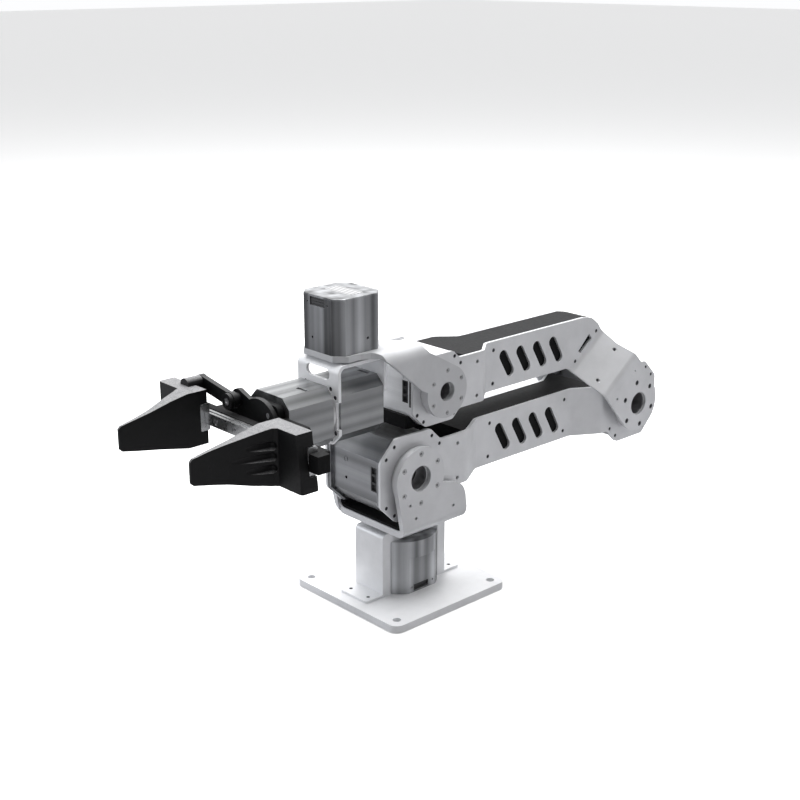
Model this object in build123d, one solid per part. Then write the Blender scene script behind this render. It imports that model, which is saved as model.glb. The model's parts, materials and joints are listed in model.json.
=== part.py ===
from build123d import *
import math
import os

# Desktop robot arm: six powered axes and a two-finger gripper.
# Frame: +X forward (towards the gripper), +Y to the arm's left, +Z up.
# The origin is the centre of the base plate's underside. Millimetres.

os.makedirs("parts", exist_ok=True)

# base
BASE_HALF = 60.0
BASE_T = 6.0
BASE_CORNER_R = 8.0
BASE_HOLE_PITCH = 101.0
BASE_HOLE_R = 3.25
TOWER_X = 33.4
TOWER_Y = 15.9
TOWER_TOP = 58.0
TOWER_WALL = 8.2
J1_R = 28.7
J1_FLAT_TOP = 36.0
FOOT_X = 50.4
FOOT_T = 2.0

# gear motor families: half width, corner chamfer
BIG_HALF, BIG_CHAMFER = 30.0, 13.6
MID_HALF, MID_CHAMFER = 25.0, 7.6
SMALL_HALF, SMALL_CHAMFER = 22.0, 7.46

# joint axes
J2_X, J2_Z = 16.2, 107.4
J3_X, J3_Z = -245.6, 108.2
J4_X, J4_Z = -12.9, 168.9
J5_X = 58.1
J6_Z = 166.6

# shoulder bracket
U_T = 4.5
U_FLOOR = 5.5
U_BOTTOM = 61.1
U_OUT = 40.25
LOBE_R = 24.4

# link plates
SHEET = 2.2
LOW_OUT = 16.9
LOW_END_OUT = 31.6
LOW_TOP, LOW_BOTTOM = 129.8, 87.6
UP_OUT = 16.0
UP_END_OUT = 28.9
UP_ELBOW_OUT = 40.25
UP_TOP, UP_BOTTOM = 189.7, 148.9
BIG_PLATE, BIG_PLATE_FLAT = 33.3, 17.8
BIG_FLANGE, BIG_FLANGE_FLAT = 32.4, 17.2
PLATE_CORNER_R = 6.0
BEND_R = 8.0
SLOT_W = 9.0
MID_PLATE, MID_PLATE_FLAT = 27.1, 14.8

# bolt circles
BIG_PCD_R = 19.67
MID_PCD_R = 16.66
BIG_FLANGE_R, MID_FLANGE_R = 22.6, 19.4
RUN_GAP = 0.3

# wrist
YOKE_T = 4.5
YOKE_OUT = 37.8
YOKE_LOBE_R = 20.5
WEB_TOP = 209.9
J5_TOP = 250.3
J5_HALF, J5_FLAT = 22.3, 15.2
CAP_T = 1.0
HAND_T = 2.5
HAND_X = 81.0
HAND_REAR = 34.9
HAND_TOP = 203.9
HAND_HALF = 22.85
HAND_BEND_R = 6.5
J6_REAR = HAND_REAR + HAND_T

# gripper
GRIP_REAR = 84.9
GRIP_FRONT = 125.0
FRAME_FRONT = 130.6
CRANK_X0, CRANK_X1 = 131.0, 134.6
CRANK_HUB_R = 20.0
CRANK_PIN_Y, CRANK_PIN_Z = 24.0, 14.5
LINK_X0, LINK_X1 = 137.7, 141.7
FINGER_PIN_Y, FINGER_PIN_Z = 60.0, 20.4
BAR_X0, BAR_X1 = 138.4, 144.9
RAIL_X1 = 151.4
RAIL_HALF_L = 82.0
RAIL_HALF_W = 4.5
CAR_X0, CAR_X1 = 147.1, 154.9
CAR_Y0, CAR_Y1 = 41.5, 79.5
CAR_HALF_W = 10.0
FINGER_IN, FINGER_OUT, FINGER_OUT_TOP = 41.5, 77.0, 82.0
FINGER_X0 = 149.0
RAIL_END_Y0, RAIL_END_Y1 = 79.8, 89.2
FINGER_TIP_X = 221.5
FINGER_BLOCK_X = 162.6
SCOOP_R = 3.2
BIG_CORNERS = [(27.3, 19.2), (19.2, 27.3)]
MID_CORNERS = [(22.7, 16.1), (16.1, 22.7)]
SMALL_CORNERS = [(18.9, 13.4), (13.4, 18.9)]


def block(x0, x1, y0, y1, z0, z1):
    centre = Pos((x0 + x1) / 2, (y0 + y1) / 2, (z0 + z1) / 2)
    return centre * Box(x1 - x0, y1 - y0, z1 - z0)


def rod_x(y, z, r, x0, x1):
    return Pos((x0 + x1) / 2, y, z) * Rot(0, 90, 0) * Cylinder(r, x1 - x0)


def rod_y(x, z, r, y0, y1):
    return Pos(x, (y0 + y1) / 2, z) * Rot(90, 0, 0) * Cylinder(r, y1 - y0)


def rod_z(x, y, r, z0, z1):
    return Pos(x, y, (z0 + z1) / 2) * Cylinder(r, z1 - z0)


def prism(points, direction, length):
    face = Face(Wire.make_polygon([Vector(*p) for p in points], close=True))
    return extrude(face, amount=length, dir=direction)


def prism_xz(points, y0, y1):
    return prism([(x, y0, z) for x, z in points], (0, 1, 0), y1 - y0)


def prism_xy(points, z0, z1):
    return prism([(x, y, z0) for x, y in points], (0, 0, 1), z1 - z0)


def prism_yz(points, x0, x1):
    return prism([(x0, y, z) for y, z in points], (1, 0, 0), x1 - x0)


def octagon(cx, cy, half, flat):
    h, f = half, flat
    corners = [(h, -f), (h, f), (f, h), (-f, h), (-h, f), (-h, -f), (-f, -h), (f, -h)]
    return [(cx + a, cy + b) for a, b in corners]


def turned(shape, cy, cz):
    # half turn about a line along X through (cy, cz)
    return Pos(0, cy, cz) * Rot(180, 0, 0) * Pos(0, -cy, -cz) * shape


def mirrored(shape):
    return mirror(shape, about=Plane.XZ)


def joined(shapes):
    out = shapes[0]
    for shape in shapes[1:]:
        out = out + shape
    return out


def less(shape, cutters):
    for cutter in cutters:
        shape = shape - cutter
    return shape


def save(name, shapes):
    solids = []
    for shape in shapes:
        solids += shape.solids()
    out = solids[0] if len(solids) == 1 else Compound(children=solids)
    out.label = name
    export_step(out, "parts/" + name + ".step")


def offset_path(path, t):
    # the same open path moved t towards smaller second coordinate, with mitred corners
    normals = []
    for (a, b), (c, d) in zip(path, path[1:]):
        length = math.hypot(c - a, d - b)
        n = ((d - b) / length, -(c - a) / length)
        if n[1] > 0:
            n = (-n[0], -n[1])
        normals.append(n)
    out = []
    for i, (a, b) in enumerate(path):
        n1 = normals[max(i - 1, 0)]
        n2 = normals[min(i, len(normals) - 1)]
        m = (n1[0] + n2[0], n1[1] + n2[1])
        scale = t / (1 + n1[0] * n2[0] + n1[1] * n2[1])
        out.append((a + m[0] * scale, b + m[1] * scale))
    return out


def band(path, t):
    return path + offset_path(path, t)[::-1]


def socket_y(x, z, r, y_top, y_end, depth=1.2):
    # screw along Y with a hexagonal drive in the end at y_top
    body = rod_y(x, z, r, min(y_top, y_end), max(y_top, y_end))
    side = 1 if y_top > y_end else -1
    hexagon = extrude(RegularPolygon(r * 0.52, 6), amount=depth * 2, both=True)
    return body - Pos(x, y_top - side * depth * 0.5 + side * depth * 1.5, z) * Rot(90, 0, 0) * hexagon


def socket_x(y, z, r, x_top, x_end, depth=1.2):
    body = rod_x(y, z, r, min(x_top, x_end), max(x_top, x_end))
    side = 1 if x_top > x_end else -1
    hexagon = extrude(RegularPolygon(r * 0.52, 6), amount=depth * 2, both=True)
    return body - Pos(x_top + side * depth, y, z) * Rot(0, 90, 0) * hexagon


def socket_z(x, y, r, z_top, z_end, depth=1.2):
    body = rod_z(x, y, r, min(z_top, z_end), max(z_top, z_end))
    hexagon = extrude(RegularPolygon(r * 0.52, 6), amount=depth * 2, both=True)
    return body - Pos(x, y, z_top + depth) * hexagon


def circle_points(cx, cy, r, count, start):
    out = []
    for i in range(count):
        a = math.radians(start + 360 * i / count)
        out.append((cx + r * math.cos(a), cy + r * math.sin(a)))
    return out


def corner_points(cx, cy, pairs):
    out = []
    for p, q in pairs:
        for sx in (1, -1):
            for sy in (1, -1):
                out.append((cx + sx * p, cy + sy * q))
    return out


# ---- base ----

def base_plate():
    plate = Pos(0, 0, BASE_T / 2) * Box(2 * BASE_HALF, 2 * BASE_HALF, BASE_T)
    plate = fillet(plate.edges().filter_by(Axis.Z), BASE_CORNER_R)
    h = BASE_HOLE_PITCH / 2
    holes = [rod_z(sx * h, sy * h, BASE_HOLE_R, -1, 7) for sx in (1, -1) for sy in (1, -1)]
    holes += [rod_z(x, y, 1.25, 1.5, 7) for x, y in foot_positions()]
    return less(plate, holes)


def foot_positions():
    return [(sx * 43.6, sy * 10.2) for sx in (1, -1) for sy in (1, -1)]


def base_tower():
    outer = block(-TOWER_X, TOWER_X, -TOWER_Y, TOWER_Y, BASE_T, TOWER_TOP)
    tops = outer.edges().filter_by(Axis.Y).sort_by(Axis.Z)[-2:]
    outer = fillet(tops, 4.0)
    inner = TOWER_X - TOWER_WALL
    outer = outer - block(-inner, inner, -TOWER_Y - 1, TOWER_Y + 1, BASE_T - 1, 50.0)
    outer = outer - rod_z(0, 0, 14.0, 49, 59)
    feet = block(-FOOT_X, FOOT_X, -TOWER_Y, TOWER_Y, BASE_T, BASE_T + FOOT_T)
    feet = fillet(feet.edges().filter_by(Axis.Z), 3.0)
    feet = feet - block(-TOWER_X + 1, TOWER_X - 1, -20, 20, 5, 10)
    shape = outer + feet
    return less(shape, [rod_z(x, y, 1.55, 5, 10) for x, y in foot_positions()])


def foot_screws():
    out = []
    for x, y in foot_positions():
        head = socket_z(x, y, 1.5, BASE_T + FOOT_T - 0.2, BASE_T, 0.9)
        out.append(head + rod_z(x, y, 1.2, 2.0, BASE_T))
    return out


def j1_housing():
    body = rod_z(0, 0, J1_R, BASE_T, 50.0) & block(-MID_HALF, MID_HALF, -40, 40, 0, 60)
    flats = block(-40, 40, MID_HALF, 40, 0, J1_FLAT_TOP)
    body = body - flats - mirrored(flats)
    body = body - rod_z(0, 0, 20.0, BASE_T + 3, 44.0)
    body = body - rod_z(0, 0, 16.5, 43.0, 51.0)
    cuts = [block(-6.6, 9.0, 22.4, 26.0, 7.4, 12.4)]
    cuts += [rod_y(x, 10.6, 0.8, 23.6, 26) for x in (10.9, -11.2)]
    return less(body, cuts)


def j1_core():
    ring = rod_z(0, 0, 19.9, BASE_T + 3, 40.0) - rod_z(0, 0, 5.0, 8, 41)
    return ring


def connector_y(x0, x1, y0, y1, z0, z1):
    body = block(x0, x1, y0, y1, z0, z1)
    pocket = block(x0 + 0.8, x1 - 0.8, y1 - 1.2, y1 + 1, z0 + 0.8, z1 - 0.8)
    return body - pocket


# ---- shoulder ----

def j1_flange():
    disc = rod_z(0, 0, 19.5, TOWER_TOP + RUN_GAP, U_BOTTOM)
    hub = rod_z(0, 0, 13.6, 44.5, TOWER_TOP + RUN_GAP)
    return disc + hub - rod_z(0, 0, 6.0, 40, 70)


def u_side_outline():
    return [(-33.0, U_BOTTOM), (31.9, U_BOTTOM), (33.3, 66.5), (40.5, 104.5), (J2_X, 120.0),
            (-4.0, 110.0), (-6.4, 99.4), (-9.5, 97.6), (-14.0, 96.4), (-21.1, 94.7), (-25.2, 92.8),
            (-28.3, 90.1), (-30.4, 86.6), (-31.8, 82.0), (-32.6, 75.0)]


def u_side():
    plate = prism_xz(u_side_outline(), U_OUT - U_T, U_OUT)
    plate = plate + rod_y(J2_X, J2_Z, LOBE_R, U_OUT - U_T, U_OUT)
    holes = [rod_y(J2_X, J2_Z, 10.1, 30, 45)]
    holes += [rod_y(x, z, 2.3, 30, 45) for x, z in j2_bolts()]
    holes += [rod_y(x, z, 1.25, 30, 45) for x, z in u_small_holes()]
    return less(plate, holes)


def u_small_holes():
    return [(27.2, 88.3), (21.0, 76.4), (-18.3, 76.3), (-12.5, 99.3)]


def j2_bolts():
    return circle_points(J2_X, J2_Z, BIG_PCD_R, 6, 30)


def bracket_section(half, bottom, radius):
    # inside or outside shape of the folded bracket, open at the top
    body = block(-34, 50, -half, half, bottom, 160)
    return fillet(body.edges().filter_by(Axis.X).group_by(Axis.Z)[0], radius)


def shoulder_bracket():
    sides = u_side() + mirrored(u_side()) - block(-60, 60, -60, 60, 50, U_BOTTOM + 2)
    floor = block(-33.0, 31.9, -U_OUT, U_OUT, U_BOTTOM, U_BOTTOM + 12)
    shell = bracket_section(U_OUT, U_BOTTOM, 9.5)
    inside = bracket_section(U_OUT - U_T, U_BOTTOM + U_FLOOR, 5.0)
    shape = ((sides + floor) & shell) - inside
    holes = [rod_z(x, y, 1.55, 60, 68) for x, y in circle_points(0, 0, 11.5, 6, 0)]
    return less(shape, holes)


def shoulder_liner():
    inside = bracket_section(U_OUT - U_T, U_BOTTOM + U_FLOOR, 5.0)
    hollow = bracket_section(U_OUT - U_T - 1.7, U_BOTTOM + U_FLOOR + 1.9, 4.0)
    shape = inside & block(-31.5, 30.9, -40, 40, 60, 76.0)
    return shape - hollow


def flange_y(cx, cz, disc_r, hub_r, hole_r, y_in, y_seat, y_out, bolts):
    disc = rod_y(cx, cz, disc_r, y_seat, y_out)
    hub = rod_y(cx, cz, hub_r, y_in, y_seat)
    shape = disc + hub - rod_y(cx, cz, hole_r, y_in - 1, y_out + 1)
    return less(shape, [rod_y(x, z, 1.55, y_out - 4.2, y_out + 1) for x, z in bolts])


def j2_flange():
    return flange_y(J2_X, J2_Z, BIG_FLANGE_R, 21.9, 9.6, 24.4,
                    LOW_END_OUT + RUN_GAP, U_OUT - U_T, j2_bolts())


def plate_screw(x, z, r, y_out, plate_t, shank_r, shank_l):
    head = socket_y(x, z, r, y_out - 0.4, y_out - plate_t, 1.0)
    return head + rod_y(x, z, shank_r, y_out - plate_t - shank_l, y_out - plate_t)


def shoulder_screws():
    out = [plate_screw(x, z, 2.25, U_OUT, U_T, 1.5, 4.0) for x, z in j2_bolts()]
    out += [mirrored(s) for s in out]
    for x, y in circle_points(0, 0, 11.5, 6, 0):
        out.append(socket_z(x, y, 1.5, 66.4, U_BOTTOM, 0.9))
    return out


# ---- lower link, shoulder to elbow ----

LOW_PATH = [(52.0, LOW_END_OUT), (-41.5, LOW_END_OUT), (-66.0, LOW_OUT), (-181.5, LOW_OUT),
            (-206.0, LOW_END_OUT), (-282.0, LOW_END_OUT)]


def low_outline():
    h, f = BIG_PLATE, BIG_PLATE_FLAT
    rise = h - (LOW_TOP - J2_Z)
    drop = h - (J2_Z - LOW_BOTTOM)
    rise3 = h - (LOW_TOP - J3_Z)
    drop3 = h - (J3_Z - LOW_BOTTOM)
    return [(J2_X + h, J2_Z - f), (J2_X + h, J2_Z + f), (J2_X + f, J2_Z + h), (J2_X - f, J2_Z + h),
            (J2_X - f - rise, LOW_TOP), (J3_X + f + rise3, LOW_TOP), (J3_X + f, J3_Z + h),
            (J3_X - f, J3_Z + h), (J3_X - h, J3_Z + f), (J3_X - h, J3_Z - f), (J3_X - f, J3_Z - h),
            (J3_X + f, J3_Z - h), (J3_X + f + drop3, LOW_BOTTOM), (J2_X - f - drop, LOW_BOTTOM),
            (J2_X - f, J2_Z - h), (J2_X + f, J2_Z - h)]


def slot_y(x0, z0, x1, z1, w, y0, y1):
    length = math.hypot(x1 - x0, z1 - z0)
    ux, uz = (x1 - x0) / length, (z1 - z0) / length
    r = w / 2
    ax, az, bx, bz = x0 + ux * r, z0 + uz * r, x1 - ux * r, z1 - uz * r
    nx, nz = -uz * r, ux * r
    bar = prism_xz([(ax + nx, az + nz), (bx + nx, bz + nz), (bx - nx, bz - nz), (ax - nx, az - nz)], y0, y1)
    return bar + rod_y(ax, az, r, y0, y1) + rod_y(bx, bz, r, y0, y1)


def low_slots():
    first = (-90.5, 119.3, -104.0, 95.7)
    return [(first[0] - i * 20.2, first[1], first[2] - i * 20.2, first[3]) for i in range(4)]


def low_body_screws():
    return [(-81.9, 122.3), (-80.6, 94.2), (-173.4, 122.0), (-173.0, 94.2)]


def low_end_screws():
    return corner_points(J2_X, J2_Z, BIG_CORNERS) + corner_points(J3_X, J3_Z, BIG_CORNERS)


def low_extra_holes():
    return [(-30.9, 121.8), (-30.9, 93.3)]


def rounded_outline(points, y0, y1, centres, reach):
    # flat outline whose corners near the motor axes are rounded
    shape = prism_xz(points, y0, y1)
    picked = []
    for edge in shape.edges().filter_by(Axis.Y):
        at = edge.center()
        if any(math.hypot(at.X - cx, at.Z - cz) < reach and abs(at.Z - cz) > 10 for cx, cz in centres):
            picked.append(edge)
    return fillet(picked, PLATE_CORNER_R)


def folded(points, direction, length):
    # strip with rounded bends; the first, middle two and last points are its square ends
    face = Face(Wire.make_polygon([Vector(*p) for p in points], close=True))
    half = len(points) // 2
    ends = [Vector(*points[i]) for i in (0, half - 1, half, len(points) - 1)]
    corners = []
    for vertex in face.vertices():
        at = Vector(vertex.X, vertex.Y, vertex.Z)
        if all((at - end).length > 0.01 for end in ends):
            corners.append(vertex)
    return extrude(face.fillet_2d(BEND_R, corners), amount=length, dir=direction)


def folded_xy(path, z0, z1):
    return folded([(x, y, z0) for x, y in band(path, SHEET)], (0, 0, 1), z1 - z0)


def lower_plate():
    strip = folded_xy(LOW_PATH, 60, 160)
    ends = [(J2_X, J2_Z), (J3_X, J3_Z)]
    outline = rounded_outline(low_outline(), 0, 50, ends, 38.6)
    shape = strip & outline
    cuts = [rod_y(J2_X, J2_Z, 22.3, 20, 40), rod_y(J3_X, J3_Z, 22.3, 20, 40)]
    cuts += [slot_y(*s, SLOT_W, 10, 20) for s in low_slots()]
    cuts += [rod_y(x, z, 1.65, 10, 20) for x, z in low_body_screws()]
    cuts += [rod_y(x, z, 1.55, 25, 40) for x, z in low_end_screws()]
    cuts += [rod_y(x, z, 1.5, 25, 40) for x, z in low_extra_holes()]
    return less(shape, cuts)


def lower_cover():
    half = offset_path(LOW_PATH, SHEET)[1:5]
    half = [(-38.5, half[0][1])] + half[1:3] + [(-205.0, half[3][1] - 1.5)]
    plan = half + [(x, -y) for x, y in half[::-1]]
    shape = prism_xy(plan, LOW_BOTTOM + 0.4, LOW_TOP - 0.1)
    core = block(-200.0, -43.0, -11.0, 11.0, LOW_BOTTOM + 3.4, LOW_TOP - 3.1)
    shape = shape - core
    keep_off = rod_y(J3_X, J3_Z, 40.0, -40, 40) + rod_y(J2_X, J2_Z, 34.0, -40, 40)
    shape = shape - keep_off
    shape = shape - lower_plate() - mirrored(lower_plate())
    return less(shape, [rod_y(x, z, 1.2, -40, 40) for x, z in low_body_screws()])


def lower_screws():
    out = []
    for x, z in low_end_screws():
        out.append(socket_y(x, z, 1.5, LOW_END_OUT - 0.3, LOW_END_OUT - SHEET, 1.0)
                   + rod_y(x, z, 1.2, LOW_END_OUT - SHEET - 2.9, LOW_END_OUT - SHEET))
    for x, z in low_body_screws():
        out.append(socket_y(x, z, 1.6, LOW_OUT - 0.3, LOW_OUT - SHEET, 0.9)
                   + rod_y(x, z, 1.15, 11.2, LOW_OUT - SHEET))
    return out + [mirrored(s) for s in out]


def motor_y(cx, cz, half, chamfer, y_half, bore_r, corners, screw_depth):
    body = prism_xz(octagon(cx, cz, half, half - chamfer), -y_half, y_half)
    body = body - rod_y(cx, cz, bore_r, -y_half - 1, y_half + 1)
    cuts = []
    for x, z in corner_points(cx, cz, corners):
        cuts.append(rod_y(x, z, 1.25, screw_depth, y_half + 1))
        cuts.append(rod_y(x, z, 1.25, -y_half - 1, -screw_depth))
    return less(body, cuts)


def end_flange(cx, cz, bore_r, y0, y1):
    ring = prism_xz(octagon(cx, cz, BIG_FLANGE, BIG_FLANGE_FLAT), y0, y1)
    ring = ring - rod_y(cx, cz, bore_r, y0 - 1, y1 + 1)
    return less(ring, [rod_y(x, z, 1.25, y0 - 1, y1 + 1) for x, z in corner_points(cx, cz, BIG_CORNERS)])


def big_motor(cx, cz):
    body = prism_xz(octagon(cx, cz, BIG_HALF, BIG_HALF - BIG_CHAMFER), -J2_HALF_L, J2_HALF_L)
    body = body - rod_y(cx, cz, 22.3, -40, 40)
    flange = end_flange(cx, cz, 22.3, J2_HALF_L - 3.0, J2_HALF_L)
    inner = block(cx - 40, cx + 40, -J2_HALF_L + 3.0, J2_HALF_L - 3.0, cz - 40, cz + 40)
    return (body & inner) + flange + mirrored(flange)


def core_y(cx, cz, r, y_half, hole_r):
    stator = rod_y(cx, cz, r, -y_half, y_half) - rod_y(cx, cz, hole_r, -y_half - 1, y_half + 1)
    ends = rod_y(cx, cz, r - 3, y_half - 1, y_half + 1) - rod_y(cx, cz, r - 6, y_half - 1.5, y_half + 1.5)
    return stator - ends


J2_HALF_L = LOW_END_OUT - SHEET
J4_HALF_L = UP_END_OUT - SHEET


def j2_housing():
    body = big_motor(J2_X, J2_Z)
    x = J2_X + BIG_HALF
    body = body - block(x - 3.0, x + 1, 17.2, 24.2, 99.0, 118.4)
    body = body - rod_x(-10.9, 102.1, 1.2, x - 4, x + 1)
    return body - (rod_x(-10.9, 116.7, 2.2, x - 0.5, x + 1) - rod_x(-10.9, 116.7, 1.6, x - 1, x + 1))


def j3_housing():
    body = big_motor(J3_X, J3_Z)
    x = J3_X - BIG_HALF
    return body - block(x - 1, x + 3.0, 17.2, 24.2, 98.5, 117.9)


def plug_x(x0, x1, y0, y1, z0, z1, side):
    # socket block whose mouth is on the side (1 or -1) of X
    body = block(x0, x1, y0, y1, z0, z1)
    top = x1 if side > 0 else x0
    third = (z1 - z0) / 3
    cuts = []
    for i in range(3):
        low = z0 + i * third + 0.9
        cuts.append(block(top - 1.4, top + 1.4, y0 + 1.1, y1 - 1.1, low, low + third - 1.8))
    return less(body, cuts)


# ---- forearm, elbow to wrist ----

UP_PATH = [(20.0, UP_END_OUT), (-61.5, UP_END_OUT), (-77.0, UP_OUT), (-150.0, UP_OUT)]
ELBOW_DIR = (-0.60, -0.80)
ELBOW_REF = (-202.0, 160.5)
ELBOW_STEP = 27.0


def up_outline():
    h, f = MID_PLATE, MID_PLATE_FLAT
    rise = h - (UP_TOP - J4_Z)
    drop = h - (J4_Z - UP_BOTTOM)
    return [(J4_X + h, J4_Z - f), (J4_X + h, J4_Z + f), (J4_X + f, J4_Z + h), (J4_X - f, J4_Z + h),
            (J4_X - f - rise, UP_TOP), (-195.5, UP_TOP), (-206.7, 187.4), (-215.1, 181.2),
            (-222.7, 170.6), (-227.5, 163.2), (-237.5, 155.2), (-245.6, 146.5), (-264.6, 125.9),
            (-268.6, 117.0), (J3_X - LOBE_R, J3_Z), (J3_X, J3_Z), (J3_X + 18.7, J3_Z - 15.7),
            (-183.4, 143.0), (-180.0, 146.6), (-175.0, UP_BOTTOM), (J4_X - f - drop, UP_BOTTOM),
            (J4_X - f, J4_Z - h), (J4_X + f, J4_Z - h)]


def elbow_path():
    return [(-110.0, UP_OUT), (0.0, UP_OUT), (ELBOW_STEP, UP_ELBOW_OUT), (120.0, UP_ELBOW_OUT)]


def elbow_strip():
    # the sheet steps outward along ELBOW_DIR, square to a slanted bend line
    dx, dz = ELBOW_DIR
    px, pz = -dz, dx
    x0, z0 = ELBOW_REF
    pts = []
    for s, y in band(elbow_path(), SHEET):
        pts.append((x0 + s * dx - 90 * px, y, z0 + s * dz - 90 * pz))
    return folded(pts, (px, 0, pz), 180)


def forearm_shell():
    front = folded_xy(UP_PATH, 120, 210) - block(-400, -150, 0, 60, 100, 250)
    rear = elbow_strip() - block(-150, 100, -10, 60, 40, 260)
    outline = rounded_outline(up_outline(), 0, 50, [(J4_X, J4_Z)], 31.5)
    outline = outline + rod_y(J3_X, J3_Z, LOBE_R, 0, 50)
    return (front & outline) + (rear & outline)


def up_slots():
    first = (-94.7, 179.6, -107.7, 157.6)
    return [(first[0] - i * 19.9, first[1], first[2] - i * 19.9, first[3]) for i in range(4)]


def up_body_screws():
    return [(-85.6, 182.3), (-85.3, 154.8), (-213.0, 174.9), (-186.7, 153.0)]


def up_end_screws():
    return corner_points(J4_X, J4_Z, MID_CORNERS)


def j3_bolts():
    return circle_points(J3_X, J3_Z, BIG_PCD_R, 6, 20.1)


def step_screws():
    # set screws in the stepped part of the elbow plate: x, z and the sheet's outer y there
    return [(-223.4, 158.9, 29.5), (-199.2, 136.9, 31.5)]


def forearm_plate():
    shape = forearm_shell()
    cuts = [rod_y(J4_X, J4_Z, 18.9, 20, 35), rod_y(J3_X, J3_Z, 10.1, 30, 45)]
    cuts += [slot_y(*s, SLOT_W, 10, 20) for s in up_slots()]
    window = [(-203.7, 174.2), (-207.2, 169.5), (-193.0, 158.8), (-190.4, 161.2)]
    cuts += [prism_xz(window, 10, 20)]
    cuts += [rod_y(x, z, 1.65, 10, 20) for x, z in up_body_screws()]
    cuts += [rod_y(x, z, 1.55, 20, 35) for x, z in up_end_screws()]
    cuts += [rod_y(x, z, 2.3, 34, 45) for x, z in j3_bolts()]
    cuts += [rod_y(x, z, 1.25, 34, 45) for x, z in [(-238.4, 138.9), (-215.7, 118.6)]]
    cuts += [rod_y(x, z, 1.5, 15, 45) for x, z, y in step_screws()]
    cuts += [rod_y(x, z, 1.5, 20, 35) for x, z in [(-54.0, 182.3), (-54.0, 154.8)]]
    return less(shape, cuts)


def forearm_cover():
    inner = offset_path(UP_PATH, SHEET)
    half = [(-41.0, inner[1][1]), inner[1], inner[2], (-218.0, inner[2][1])]
    plan = half + [(x, -y) for x, y in half[::-1]]
    shape = prism_xy(plan, UP_BOTTOM + 0.3, UP_TOP - 0.1)
    outline = prism_xz(up_outline(), -40, 40)
    shape = shape & outline
    dx, dz = ELBOW_DIR
    px, pz = -dz, dx
    x0, z0 = ELBOW_REF
    far = [(x0 - 90 * px, z0 - 90 * pz), (x0 + 90 * px, z0 + 90 * pz),
           (x0 + 90 * px + 60 * dx, z0 + 90 * pz + 60 * dz),
           (x0 - 90 * px + 60 * dx, z0 - 90 * pz + 60 * dz)]
    shape = shape - prism_xz(far, -40, 40)
    shape = shape - block(-188.0, -46.0, -10.5, 10.5, UP_BOTTOM + 3.2, UP_TOP - 3.0)
    shape = shape - forearm_shell() - mirrored(forearm_shell())
    return less(shape, [rod_y(x, z, 1.2, -40, 40) for x, z in up_body_screws()])


def rest_pad():
    # buffer under the wrist motor, resting over the shoulder motor when folded
    points = [(-8.0, 141.2), (15.0, 141.2), (15.0, 151.6), (12.4, 151.6), (4.4, 143.6), (-8.0, 143.6)]
    pad = prism_xz(points, -22.0, 22.0)
    return chamfer(pad.edges().filter_by(Axis.Z), 1.0)


def forearm_screws():
    out = []
    for x, z in up_end_screws():
        out.append(socket_y(x, z, 1.5, UP_END_OUT - 0.3, UP_END_OUT - SHEET, 1.0)
                   + rod_y(x, z, 1.2, 21.5, UP_END_OUT - SHEET))
    for x, z in up_body_screws():
        out.append(socket_y(x, z, 1.6, UP_OUT - 0.3, UP_OUT - SHEET, 0.9)
                   + rod_y(x, z, 1.15, 11.0, UP_OUT - SHEET))
    for x, z, y in step_screws():
        out.append(rod_y(x, z, 1.45, y - 3.4, y - 1.0))
    for x, z in j3_bolts():
        out.append(plate_screw(x, z, 2.25, UP_ELBOW_OUT, SHEET, 1.5, 4.0))
    return out + [mirrored(s) for s in out]


def j3_flange():
    return flange_y(J3_X, J3_Z, BIG_FLANGE_R, 21.9, 9.6, 24.4,
                    LOW_END_OUT + RUN_GAP, UP_ELBOW_OUT - SHEET, j3_bolts())


def j4_housing():
    body = motor_y(J4_X, J4_Z, MID_HALF, MID_CHAMFER, J4_HALF_L, 18.9, MID_CORNERS, 21.0)
    x = J4_X + MID_HALF
    body = body - block(x - 3.0, x + 1, 14.8, 21.2, 161.0, 178.3)
    body = body - rod_x(16.1, 180.2, 0.9, x - 2, x + 1)
    return body - block(x - 2.0, x + 1, 22.2, 24.4, 158.2, 178.5)


def j4_connector():
    x = J4_X + MID_HALF
    plug = plug_x(x - 3.0, x - 0.2, 14.8, 21.2, 161.0, 178.3, 1)
    bar = block(x - 2.0, x - 0.3, 22.2, 24.4, 158.2, 178.5)
    return [plug, bar]


# ---- wrist yoke ----

def j4_bolts():
    return circle_points(J4_X, J4_Z, MID_PCD_R, 6, 30)


def yoke_side_outline():
    return [(80.5, WEB_TOP + 1), (80.5, 205.4), (49.1, 205.4), (35.5, 194.6), (12.5, 174.7),
            (7.4, 172.0), (J4_X, J4_Z), (-22.0, 187.3), (5.0, 202.5), (8.6, 206.5), (8.6, WEB_TOP + 1)]


def yoke_plan():
    right = [(80.5, 16.3), (72.4, 24.3), (61.0, 24.3), (54.0, 27.0), (48.5, 33.0), (46.5, 40.0),
             (-40.0, 40.0), (-40.0, 29.5), (8.0, 29.5), (12.0, 22.0), (20.0, 12.0), (28.0, 5.0)]
    left = [(x, -y) for x, y in right[::-1]]
    return right + left


def yoke_channel():
    outer = block(-40, 90, -YOKE_OUT, YOKE_OUT, 120, WEB_TOP)
    outer = fillet(outer.edges().filter_by(Axis.X).group_by(Axis.Z)[-1], 11.0)
    inner = block(-41, 91, -YOKE_OUT + YOKE_T, YOKE_OUT - YOKE_T, 110, WEB_TOP - YOKE_T)
    inner = fillet(inner.edges().filter_by(Axis.X).group_by(Axis.Z)[-1], 6.5)
    return outer - inner


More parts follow.
